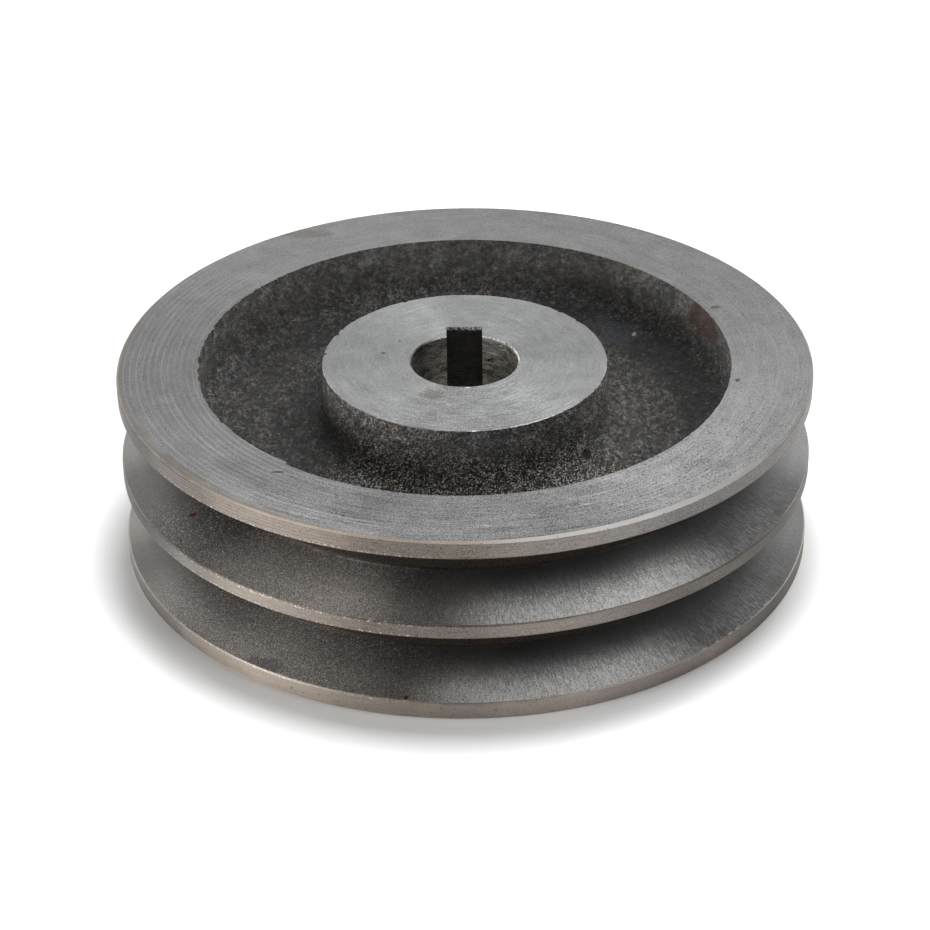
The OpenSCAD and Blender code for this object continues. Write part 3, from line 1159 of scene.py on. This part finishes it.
# Painted shade: the left wall and the far left edge darker
level = bore.product(level, bore.blend(to_left, 1.1, 0.5), bore.blend(far_left_edge, 1.0, 0.35))
colour = bore.bright((0.44, 0.425, 0.395, 1), bore.math("MAXIMUM", level, 0.1))
bore.tell("torn lines")

# %% Keyway painted dark as shade, and burr glints
KEYWAY_MARGIN = 0.06
beside = bore.parts(bore.place)
between_sides = bore.below(bore.math("ABSOLUTE", beside["X"]), keyway_half / MM + KEYWAY_MARGIN, 0.03)
in_keyway = bore.product(between_sides, bore.above(beside["Y"], 9.0, 0.5))
# Painted shade: the keyway nearly black, darker downwards
keyway_shade = bore.bright(grey(0.03), bore.remap(bore.height, (24, 42), (0.05, 1.1)))
colour = bore.mix(bore.product(in_keyway, 0.93), colour, keyway_shade)
# Burrs are bright painted glints along the upper edge, fewer at the left
burr_glints = bore.product(upper_edge, bore.above(bore.noise(bore.place, 1.9, 2.0, 0.6), 0.52, 0.06))
burr_glints = bore.product(burr_glints, bore.blend(to_left, 1.0, 0.3), bore.blend(far_left_edge, 1.0, 0.3))
burr_glint_tone = bore.mix(in_keyway, grey(0.95, 0.01), grey(0.30, 0.02))
colour = bore.mix(burr_glints, colour, burr_glint_tone)
bore.tell("keyway and burrs")

# %% Close the finish of the bore
roughness = bore.total(0.42, bore.swing(tears, 0.15))
height = bore.total(bore.product(fine, 0.03), bore.product(tears, 0.06))
bore.close(colour, roughness, height, metallic=0.85)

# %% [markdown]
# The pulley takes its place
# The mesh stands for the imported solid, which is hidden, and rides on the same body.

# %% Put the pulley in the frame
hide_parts("pulley")
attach(pulley, "root")
used_slots = {polygon.material_index for polygon in pulley.data.polygons}
print("finishes on the pulley:", len(used_slots))

# %% [markdown]
# Floor
# A plain pale floor runs well past the view, so that its edges never show.

# %% Floor
FLOOR_HALF = 6.0
FLOOR_CORNERS = ((-1, -1), (1, -1), (1, 1), (-1, 1))
floor_points = [(FLOOR_HALF * x, FLOOR_HALF * y, 0) for x, y in FLOOR_CORNERS]
floor_mesh = bpy.data.meshes.new("floor")
floor_mesh.from_pydata(floor_points, [], [(0, 1, 2, 3)])
floor = bpy.data.objects.new("floor", floor_mesh)
bpy.context.scene.collection.objects.link(floor)
pale = bpy.data.materials.new("pale_floor")
pale.use_nodes = True
pale_shader = pale.node_tree.nodes["Principled BSDF"].inputs
pale_shader["Base Color"].default_value = (0.96, 0.96, 0.96, 1)
pale_shader["Roughness"].default_value = 0.9
floor_mesh.materials.append(pale)
print("floor:", 2 * FLOOR_HALF, "m wide")

# %% [markdown]
# Light
# The light is that of a white studio. A small box almost overhead whitens the floor and keeps the shadow
# narrow. A low one at the front left and a higher one at the front right draw the highlights on the
# lands and the flanks. Two low ones behind the sides light the chamfers there, and a wide weak one at
# the back fills the recess. Angles are in degrees, counted from the front with right positive.

# %% Surround
SURROUND_STRENGTH = 0.06
world = bpy.data.worlds.new("white_studio")
world.use_nodes = True
surround = world.node_tree.nodes["Background"].inputs
surround["Color"].default_value = (1, 1, 1, 1)
surround["Strength"].default_value = SURROUND_STRENGTH
bpy.context.scene.world = world
print("surround strength:", SURROUND_STRENGTH)

# %% Soft boxes
BOX_DISTANCE = 1.2


def soft_box(name, azimuth, elevation, size, power):
    azimuth = math.radians(azimuth)
    elevation = math.radians(elevation)
    level_share = math.cos(elevation)
    aim = Vector((math.sin(azimuth) * level_share, -math.cos(azimuth) * level_share, math.sin(elevation)))
    data = bpy.data.lights.new(name, "AREA")
    data.shape = "SQUARE"
    data.size = size
    data.energy = power
    lamp = bpy.data.objects.new(name, data)
    lamp.location = BOX_DISTANCE * aim
    lamp.rotation_euler = (-aim).to_track_quat("-Z", "Y").to_euler()
    bpy.context.scene.collection.objects.link(lamp)


soft_box("overhead_soft_box", azimuth=166, elevation=80, size=0.32, power=14.5)
soft_box("left_front_soft_box", azimuth=-60, elevation=15, size=0.6, power=6.8)
soft_box("right_front_soft_box", azimuth=60, elevation=45, size=0.6, power=4.2)
soft_box("left_back_soft_box", azimuth=-138, elevation=22, size=0.6, power=2.0)
soft_box("right_back_soft_box", azimuth=138, elevation=22, size=0.6, power=2.2)
soft_box("back_soft_box", azimuth=180, elevation=27, size=0.9, power=1.1)
print("soft boxes:", len(bpy.data.lights))

# %% [markdown]
# Camera
# The view was worked out from the ellipses of the rim, the hub and the bore: about 31 degrees above the
# floor, two thirds of a metre away, with a slight roll. Colours are shown as they are, with no film
# curve.

# %% Camera
VIEW_HEIGHT_ANGLE = math.radians(30.652)
VIEW_ROLL = math.radians(0.6515)
VIEW_DISTANCE = 0.665
VIEW_TARGET = Vector((-0.000186, 0, 0.015682))
SENSOR_WIDTH = 36
LENS = 112.81
back = Vector((0, -math.cos(VIEW_HEIGHT_ANGLE), math.sin(VIEW_HEIGHT_ANGLE)))
right = Vector((1, 0, 0))
up = back.cross(right)
camera_right = math.cos(VIEW_ROLL) * right - math.sin(VIEW_ROLL) * up
camera_up = math.sin(VIEW_ROLL) * right + math.cos(VIEW_ROLL) * up
camera_data = bpy.data.cameras.new("camera")
camera_data.sensor_width = SENSOR_WIDTH
camera_data.lens = LENS
camera = bpy.data.objects.new("camera", camera_data)
turned = Matrix((camera_right, camera_up, back)).transposed().to_4x4()
camera.matrix_world = Matrix.Translation(VIEW_TARGET + VIEW_DISTANCE * back) @ turned
bpy.context.scene.collection.objects.link(camera)
bpy.context.scene.camera = camera
bpy.context.scene.view_settings.view_transform = "Standard"
print("camera:", round(VIEW_DISTANCE, 3), "m away, lens", LENS, "mm")
